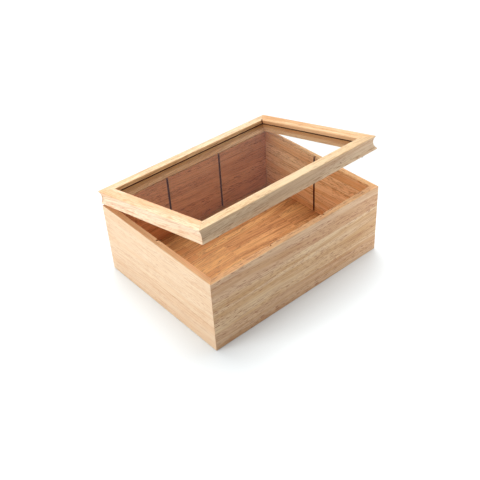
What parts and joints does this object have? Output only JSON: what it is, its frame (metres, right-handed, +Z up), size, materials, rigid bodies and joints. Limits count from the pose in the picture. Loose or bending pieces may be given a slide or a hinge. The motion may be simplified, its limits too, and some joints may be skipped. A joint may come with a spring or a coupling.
{
  "type": "tea box with hinged glass lid",
  "caption": "Low wooden tea box with mitred walls, empty divider slots and a hinged glass-topped lid in a coved frame, standing ajar.",
  "frame": {"origin": "on the table, under the middle of the room that the box takes up with its lid ajar", "axes": "+X along the box to the right, +Y from the front wall to the hinges at the back, +Z up"},
  "size_m": [0.26, 0.206, 0.1597],
  "materials": {
    "rubberwood": "thin satin lacquer over sanded wood",
    "window_glass": "clear polished float glass",
    "hinge_brass": "brass plated, satin",
    "nail_steel": "bright zinc plated",
    "pad_rubber": "soft matt"
  },
  "bodies": {
    "box": {"front_wall": "rubberwood", "back_wall": "rubberwood", "left_wall": "rubberwood", "right_wall": "rubberwood", "bottom_panel": "rubberwood", "hinge_box_screws": "hinge_brass", "left_hinge_box_leaf": "hinge_brass", "right_hinge_box_leaf": "hinge_brass", "left_hinge_pin": "hinge_brass", "right_hinge_pin": "hinge_brass"},
    "lid": {"lid_front_rail": "rubberwood", "lid_back_rail": "rubberwood", "lid_left_rail": "rubberwood", "lid_right_rail": "rubberwood", "glass_pane": "window_glass", "lid_angle_nails": "nail_steel", "lid_pads": "pad_rubber", "hinge_lid_screws": "hinge_brass", "left_hinge_lid_leaf": "hinge_brass", "right_hinge_lid_leaf": "hinge_brass"}
  },
  "joints": [
    {"name": "lid_hinge", "type": "hinge", "parent": "box", "child": "lid", "pos_m": [0, 0.09762, 0.09575], "axis": [-1, 0, 0], "range_deg": [-13.5, 86]}
  ]
}
